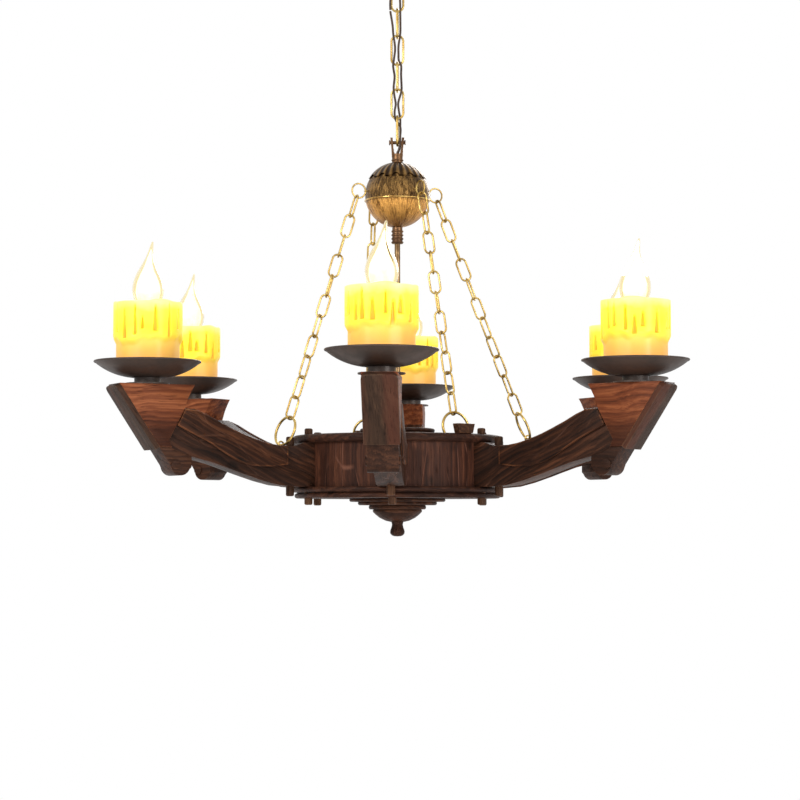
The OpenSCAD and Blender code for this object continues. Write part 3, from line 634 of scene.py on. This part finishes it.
HUB_WOOD = wood("hub_wood", (22, 12, 9), (50, 29, 21), (84, 52, 38), (108, 70, 48), 0.44)
DRUM_WOOD = wood("drum_wood", (26, 14, 11), (60, 34, 25), (98, 60, 43), (116, 78, 54), 0.44, 1.1, cracks=0.8)
dress("hub_disc_top", "hub_top_disc", HUB_WOOD, "fixture", "hub_wood", attr=flat_board)
dress("hub_disc_bottom", "hub_bottom_disc", HUB_WOOD, "fixture", "hub_wood", attr=flat_board)
dress("hub_boss_turned", "hub_boss", HUB_WOOD, "fixture", "hub_wood", 0.0006, 0.0, 30, attr=flat_board)
dress("hub_drum_staves", "hub_drum", DRUM_WOOD, "fixture", "hub_wood", attr=turned_upright)
dress("hub_rosette_turned", "hub_rosette", HUB_WOOD, "fixture", "hub_wood", 0.0004, 0.0, 30, attr=flat_board)
dress("hub_finial", "finial", HUB_WOOD, "fixture", "hub_wood", attr=turned_upright)
PEG_WOOD = wood("peg_wood", (38, 24, 17), (72, 48, 34), (108, 76, 54), (120, 86, 60))
CLEAT_WOOD = wood("cleat_wood", (30, 18, 13), (58, 37, 27), (88, 60, 42), (120, 84, 58))
dress("hub_cleat_pair", "hub_cleats", CLEAT_WOOD, "fixture", "peg_wood", 0.0008, 0.003, 30, attr=flat_board)
dress("dowels", "dowel_pegs", PEG_WOOD, "fixture", "peg_wood", attr=turned_upright)
paint_node("hub_terminal", WHITE)


# ---- Arms, rails, brackets, plates and feet ------------------------------------------
# Each arm is a bent beam with a board on either side, a bracket that carries
# the drip pan, a grey-brown front board on its slanted end and a scroll under it.
def along_arm(co):
    """Distance along the arm, across it and up, with another stretch of timber on every arm."""
    a = np.arctan2(co[:, 1], co[:, 0]) + math.pi / 2
    k = np.round(a / (math.pi / 3))
    t = k * math.pi / 3 - math.pi / 2
    out = co[:, 0] * np.cos(t) + co[:, 1] * np.sin(t)
    across = -co[:, 0] * np.sin(t) + co[:, 1] * np.cos(t)
    k = np.mod(k, 6)
    return np.stack([out + 0.9 * k, across + 0.05 * k, co[:, 2] + 0.37 * k], 1)


def down_arm(co):
    """The same place with the grain running along the falling beam."""
    g = along_arm(co)
    return np.stack([g[:, 0] * 0.89 + g[:, 2] * 0.46, g[:, 1], g[:, 2] * 0.89 - g[:, 0] * 0.46], 1)


def down_plate(co):
    """Grain runs down the slanted front board."""
    g = along_arm(co)
    return np.stack([g[:, 0] * 0.61 + g[:, 2] * 0.79, g[:, 1], g[:, 2] * 0.61 - g[:, 0] * 0.79], 1)


ARM_WOOD = wood("arm_wood", (20, 11, 8), (48, 28, 19), (90, 55, 38), (116, 72, 46), 0.42, 1.15, cracks=0.3)
RAIL_WOOD = wood("rail_wood", (24, 13, 9), (54, 31, 21), (98, 60, 40), (134, 84, 54), 0.42, 1.15, cracks=0.3)
BRACKET_WOOD = wood("bracket_wood", (52, 26, 17), (108, 57, 35), (152, 90, 57), (166, 106, 70), 0.4, 1.15,
                    low=-0.594)
PLATE_WOOD = wood("plate_wood", (28, 18, 14), (56, 40, 31), (82, 60, 46), (96, 74, 58), 0.46, 0.9,
                  red=(82, 44, 33))
FOOT_WOOD = wood("foot_wood", (24, 14, 10), (52, 31, 22), (84, 53, 37), (110, 74, 50), 0.42)
dress("arms", "arm_beams", ARM_WOOD, "fixture", "arm_wood", 0.0028, 0.006, 25, attr=down_arm)
dress("side_rails", "arm_rails", RAIL_WOOD, "fixture", "arm_wood", 0.0016, 0.004, 25, attr=down_arm)
dress("brackets", "end_brackets", BRACKET_WOOD, "fixture", "bracket_wood", 0.0014, 0.005, 25, attr=along_arm)
dress("front_boards", "front_plates", PLATE_WOOD, "fixture", "plate_wood", 0.0009, 0.0005, 40,
      attr=down_plate)
dress("scrolls", "scroll_feet", FOOT_WOOD, "fixture", "bracket_wood", 0.0012, 0.0008, 40, attr=along_arm)
paint_node("arm_cables", WHITE)

# ---- Drip pans and what stands in them ------------------------------------------------
# Spun sheet pans in dark brown satin paint, on a flanged collar. Inside each a
# threaded stem carries the lampholder under the candle sleeve.
PAN = metal("pan_paint", (56, 37, 27), (38, 26, 20), (0.4, 0.54), 900, 0.1, 30, metallic=0.1)
for name in ("pan_seats", "drip_pans"):
    paint_node(name, PAN)
paint_node("pan_nuts", ZINC)
paint_node("candle_stems", ZINC)
paint_node("lampholders", WHITE)


# ---- Candles -----------------------------------------------------------------------
# Hollow wax-look sleeves that stand loose round the bulbs, so that each lifts
# off. Runs of wax hang from the rim. The wax has a painted glow: it emits its
# own colour in place of light shining through the wall.
CANDLE_CIRCLE = 0.315   # radius on which pans, candles and bulbs stand
CANDLE_TOP = 0.068      # above the pan rims


def wax_painted_glow_material():
    # Painted glow: the wax emits its own colour, though the sleeve is no lamp.
    p = Paint("wax", Roughness=0.42, Emission_Strength=0.36)
    c = p.coords()
    high = (p.part(c, 2) - RIM) / CANDLE_TOP
    cloud = p.noise(c, 34, 4, 0.55)
    run = p.stored("run")
    groove = p.stored("groove")
    body = p.ramp(high + (cloud - 0.5) * 0.25, (0.0, (240, 174, 88)), (0.3, (248, 198, 84)),
                  (0.55, (254, 218, 60)), (1.0, (255, 238, 70)))
    fringe = p.ramp(high + (cloud - 0.5) * 0.3, (0.2, (250, 212, 78)), (0.55, (254, 228, 48)),
                    (0.82, (255, 238, 70)), (1.0, (255, 247, 158)))
    colour = p.mix(run, body, fringe)
    # Painted shade: the grooves between the runs are darkened towards deep orange-yellow, in place of their
    # shadow.
    shade = p.ramp(high, (0.3, (204, 134, 14)), (0.75, (232, 184, 10)))
    colour = p.mix(groove * 0.95, colour, shade)
    p.set("Base Color", colour)
    p.set("Emission Color", colour)
    p.bump(cloud * 0.6 + p.noise(c, 300, 3) * 0.4, 0.2, 0.0008)
    return p.mat


WAX_PAINTED_GLOW = wax_painted_glow_material()


def arm_end(k):
    """Where candle and bulb k stand."""
    a = math.radians(60 * (k - 1) - 90)
    return CANDLE_CIRCLE * math.cos(a), CANDLE_CIRCLE * math.sin(a)


def candle(k):
    rng = random.Random(40 + k)
    around, steps = 288, 104
    base, top, core, bore = RIM - 0.0122, RIM + CANDLE_TOP, 0.0355, 0.0205
    widest, run_thick = 0.0394, 0.0033      # outer limit of the sleeve, thickness of run wax
    cx, cy = arm_end(k)
    cuts, t = [], rng.uniform(0, 0.3)
    while t < 2 * math.pi - 0.15:
        start = rng.uniform(0.002, 0.02)
        stop = rng.uniform(max(0.03, start + 0.012), 0.047)
        cuts.append((t, start, stop, rng.uniform(0.0011, 0.0021) / core))
        t += rng.uniform(0.2, 0.46)

    def surface(t, z):
        """Outer radius, how much of it is run wax and how deep it lies in a groove, which sets the painted
        shade there.
        """
        depth = top - z
        r = core + 0.0003 * math.sin(5 * t + k) + 0.0002 * math.sin(11 * t - 2 * k)
        length = (0.0495 + 0.0024 * math.sin(2 * t + k) + 0.0016 * math.sin(5 * t + 2 * k)
                  + 0.001 * math.sin(13 * t))
        end = min(1.0, max(0.0, (length - depth) / 0.009))
        thick = end * end * (3 - 2 * end)
        cut = 0.0
        for at, start, stop, wide in cuts:
            if start < depth < stop + 0.0015:
                share = min(1.0, (depth - start) / (stop - start))
                half = wide * (0.45 + 0.75 * share)
                d = abs((t - at + math.pi) % (2 * math.pi) - math.pi) / half
                if d < 1.5:
                    fade = min(1.0, (depth - start) / 0.005) * min(1.0, (stop + 0.0015 - depth) / 0.0015)
                    cut = max(cut, fade * min(1.0, (1.5 - d) / 0.7))
        proud = run_thick * thick * (1 - 0.92 * cut)
        if depth < 0.003:
            proud *= 1 - 0.35 * (1 - depth / 0.003) ** 2
        return min(r + proud, widest), thick, cut * thick

    # up the outside, over the rounded rim and down the bore
    rim_round = 0.0022
    rows = [("out", base + (top - rim_round - base) * i / steps) for i in range(steps + 1)]
    rim = ((0.0012, 0.93), (0.0004, 0.85), (0.0003, 0.75), (0.0009, 0.66), (0.0022, 0.57))
    rows += [(share, top - off) for off, share in rim]
    rows += [("bore", top - 0.003), ("bore", base)]
    verts, run, groove = [], [], []
    for kind, z in rows:
        for j in range(around):
            t = 2 * math.pi * j / around
            r, a, b = bore, 0.4, 0.0
            if kind == "out":
                r, a, b = surface(t, z)
            elif kind != "bore":
                r, a, b = bore + (surface(t, top - rim_round)[0] - bore) * kind, 1.0, 0.0
                z = min(z + 0.0002 * math.sin(3 * t + k), top - 0.0001)
            verts.append((cx + r * math.cos(t), cy + r * math.sin(t), z))
            run.append(a)
            groove.append(b)
    obj = add_mesh("candle_sleeve_%d" % k, verts, ring_faces(len(rows), around), WAX_PAINTED_GLOW, 75)
    # run marks the run wax; the groove depth is stored as the mask of the painted groove shade.
    for name, values in (("run", run), ("groove", groove)):
        stored = obj.data.attributes.new(name, "FLOAT", "POINT")
        stored.data.foreach_set("value", np.array(values, np.float32))
    place(obj, "candle_%d_body" % k, "wax", "candle_%d" % k)


for k in range(1, 7):
    candle(k)


# ---- Bulbs ---------------------------------------------------------------------------
# Candle bulbs with a bent flame tip: clear blown glass, a soft warm glow
# inside it and a nickel screw cap.
def glass_material():
    p = Paint("bulb_glass", Roughness=0.03, IOR=1.09, Transmission_Weight=1.0)
    c = p.coords()
    haze = p.noise(c, 90, 3, 0.5)
    p.set("Base Color", p.ramp(haze, (0.2, (252, 240, 206)), (0.8, (254, 249, 230))))
    p.bump(p.noise(c, 60, 2, 0.5), 0.06, 0.0006)
    return p.mat


def glow_material():
    p = Paint("filament_glow", Roughness=0.6, Emission_Strength=1.0)
    c = p.coords()
    warm = p.noise(c, 120, 2, 0.5)
    colour = p.ramp(warm, (0.2, (255, 244, 214)), (0.8, (255, 252, 240)))
    p.set("Base Color", colour)
    p.set("Emission Color", colour)
    return p.mat


GLASS, GLOW = glass_material(), glow_material()
NICKEL = metal("nickel_cap", (200, 198, 190), (140, 136, 128), (0.2, 0.35), 900, 0.1)


def bent_tip(z):
    """Sideways shift of the bulb's middle at a height: the tip bends over like a flame."""
    bend_from, bend_over, most = 0.100, 0.036, 0.0050
    return most * (max(0.0, z - bend_from) / bend_over) ** 1.5


def turned_rows(k, profile, n):
    """Rows of points round arm end k for a profile of radius and height in mm."""
    cx, cy = arm_end(k)
    verts = []
    for r, z in profile:
        shift = bent_tip(z / 1000)
        for j in range(n):
            t = 2 * math.pi * j / n
            verts.append((cx + shift + r / 1000 * math.cos(t), cy + r / 1000 * math.sin(t), RIM + z / 1000))
    return verts


GLASS_OUTSIDE = [(8.4, 57), (9.2, 58.5), (10.6, 60.6), (12.4, 63.4), (14.2, 66.6), (15.8, 70), (17.0, 74),
                 (17.6, 78), (17.74, 81), (17.5, 85), (16.8, 89), (15.7, 93), (14.2, 97), (12.4, 101),
                 (10.4, 105), (8.6, 108.5), (7.0, 112), (5.6, 115.5), (4.4, 119), (3.5, 122.5), (2.8, 126),
                 (2.3, 129), (1.9, 132), (1.3, 134.6), (0.5, 135.8)]
GLASS_INSIDE = [(max(0.2, r - 1.0), z - (0.6 if z > 100 else 0)) for r, z in GLASS_OUTSIDE[:-4]]
GLOW_CORE = [(0.3, 61), (6.6, 63.4), (9.8, 67), (12.4, 72), (13.8, 78), (13.4, 85), (11.8, 91), (9.2, 97),
             (6.4, 103), (4.0, 110), (2.2, 118), (0.3, 127)]


def bulb(k):
    around = 96
    rows = GLASS_OUTSIDE + GLASS_INSIDE[::-1]
    verts = turned_rows(k, rows, around)
    glass = add_mesh("bulb_glass_%d" % k, verts, ring_faces(len(rows), around), GLASS, 70)
    place(glass, "bulb_%d_body" % k, "bulb_glass", "bulb_%d" % k)
    # the glow: a slim flame-shaped core, closed at both ends
    around = 48
    faces = ring_faces(len(GLOW_CORE), around, closed=False)
    faces.append(tuple(range(around - 1, -1, -1)))
    faces.append(tuple((len(GLOW_CORE) - 1) * around + j for j in range(around)))
    glow = add_mesh("bulb_glow_%d" % k, turned_rows(k, GLOW_CORE, around), faces, GLOW, 70)
    place(glow, "bulb_%d_body" % k, "bulb_glass")
    # the screw cap with a rolled thread
    around, thread_low, thread_high, step = 64, 34, 55, 1.02
    pitch = 4 * step        # four rows of the profile to each turn of the thread
    foot = [(1.0, 31.1), (3.0, 31.1), (4.4, 32.6), (6.2, 33.4)]
    thread = [(6.9 if i % 4 in (1, 2) else 6.5, thread_low + i * step) for i in range(22)]
    profile = [*foot, *thread, (6.9, 56.6), (1.0, 56.8)]
    verts = []
    cx, cy = arm_end(k)
    for r, z in profile:
        for j in range(around):
            t = 2 * math.pi * j / around
            lead = 0.0 if z < thread_low or z > thread_high else pitch * j / around - pitch / 2
            height = min(max(z + lead * 0.5, 33.6), 56.2) if lead else z
            verts.append((cx + r / 1000 * math.cos(t), cy + r / 1000 * math.sin(t), RIM + height / 1000))
    cap = add_mesh("bulb_cap_%d" % k, verts, ring_faces(len(profile), around, closed=False), NICKEL, 40)
    place(cap, "bulb_%d_body" % k, "bulb_glass")


for k in range(1, 7):
    bulb(k)

# ---- Camera, light and backdrop -------------------------------------------------------
# The camera stands where the photo's stood, as fitted to the arms and the hub.
# Lamps, floor and white world are staging, and no part of the chandelier.
scene = bpy.context.scene
turn = math.radians(3.0)
cam_data = bpy.data.cameras.new("camera")
FOCAL_PX, PICTURE_PX = 2103.7, 800
AWAY, BELOW_RIM, LOOKS_UP = 2.5, 0.1742, 0.058
cam_data.sensor_width = 36
cam_data.lens = FOCAL_PX / PICTURE_PX * cam_data.sensor_width
cam_data.shift_x, cam_data.shift_y = 0.00325, -0.00618
cam = bpy.data.objects.new("camera", cam_data)
cam.location = (AWAY * math.sin(turn), -AWAY * math.cos(turn), RIM - BELOW_RIM)
cam.rotation_euler = (math.pi / 2 + LOOKS_UP, 0, turn)
scene.collection.objects.link(cam)
scene.camera = cam


def lamp(name, at, target, size, power, colour=(1, 1, 1)):
    data = bpy.data.lights.new(name, "AREA")
    data.shape, data.size, data.energy, data.color = "DISK", size, power, colour
    obj = bpy.data.objects.new(name, data)
    obj.location = at
    obj.rotation_euler = (Vector(target) - Vector(at)).to_track_quat("-Z", "Y").to_euler()
    scene.collection.objects.link(obj)


mid = (0, 0, RIM - 0.05)
lamp("key", (-1.5, -2.2, 0.5), mid, 1.1, 44, (1, 0.97, 0.92))
lamp("fill", (1.9, -1.9, -0.3), mid, 1.2, 30, (1, 0.97, 0.93))
lamp("low", (0.2, -1.4, -1.55), mid, 1.4, 12, (1, 0.96, 0.9))
lamp("back", (0.4, 2.0, 0.4), mid, 1.2, 18)

FLOOR_Z, FLOOR_R = -1.75, 14.0
SEEN_RAYS = ("Is Camera Ray", "Is Glossy Ray", "Is Transmission Ray")


def light_path(tree, *kinds):
    """1 for the kinds of ray named, 0 for the others."""
    rays = tree_node(tree, "ShaderNodeLightPath")
    seen = Val(tree, rays.outputs[kinds[0]])
    for kind in kinds[1:]:
        seen = seen.math("MAXIMUM", seen, rays.outputs[kind])
    return seen


def floor_material():
    """Pale matt paint under the lamp, which fades into the white background further out."""
    p = Paint("floor_paint", Roughness=0.85)
    c = p.coords()
    n = p.noise(c, 40, 4, 0.6)
    p.set("Base Color", p.ramp(n, (0.3, (244, 242, 238)), (0.7, (248, 246, 243))))
    away = p.node("VectorMath", (0, p.scaled(c, 1, 1, 0)), out="Value", settings={"operation": "LENGTH"})
    far = away.band(0.7, 1.9) * light_path(p.tree, *SEEN_RAYS)
    mixed = p.node("MixShader", (0, far), (1, p.bsdf.outputs[0]), (2, p.node("Emission")))
    out = next(n for n in p.tree.nodes if n.type == "OUTPUT_MATERIAL")
    p.tree.links.new(mixed.out, out.inputs[0])
    return p.mat


FLOOR_SIDES = 96
ring = []
for i in range(FLOOR_SIDES):
    a = 2 * math.pi * i / FLOOR_SIDES
    ring.append((FLOOR_R * math.cos(a), FLOOR_R * math.sin(a), FLOOR_Z))
add_mesh("floor", ring, [tuple(range(FLOOR_SIDES))], floor_material())

world = bpy.data.worlds.new("studio")
scene.world = world
world.use_nodes = True
tree = world.node_tree
tree.nodes.clear()
seen = light_path(tree, *SEEN_RAYS)
white = tree_node(tree, "ShaderNodeBackground", Color=(1, 1, 1, 1), Strength=1.0)
dim = tree_node(tree, "ShaderNodeBackground", Color=(1, 0.97, 0.93, 1), Strength=0.36)
both = tree_node(tree, "ShaderNodeMixShader", (0, seen), (1, dim.outputs[0]), (2, white.outputs[0]))
tree_node(tree, "ShaderNodeOutputWorld", (0, both.outputs[0]))
scene.view_settings.view_transform = "Standard"
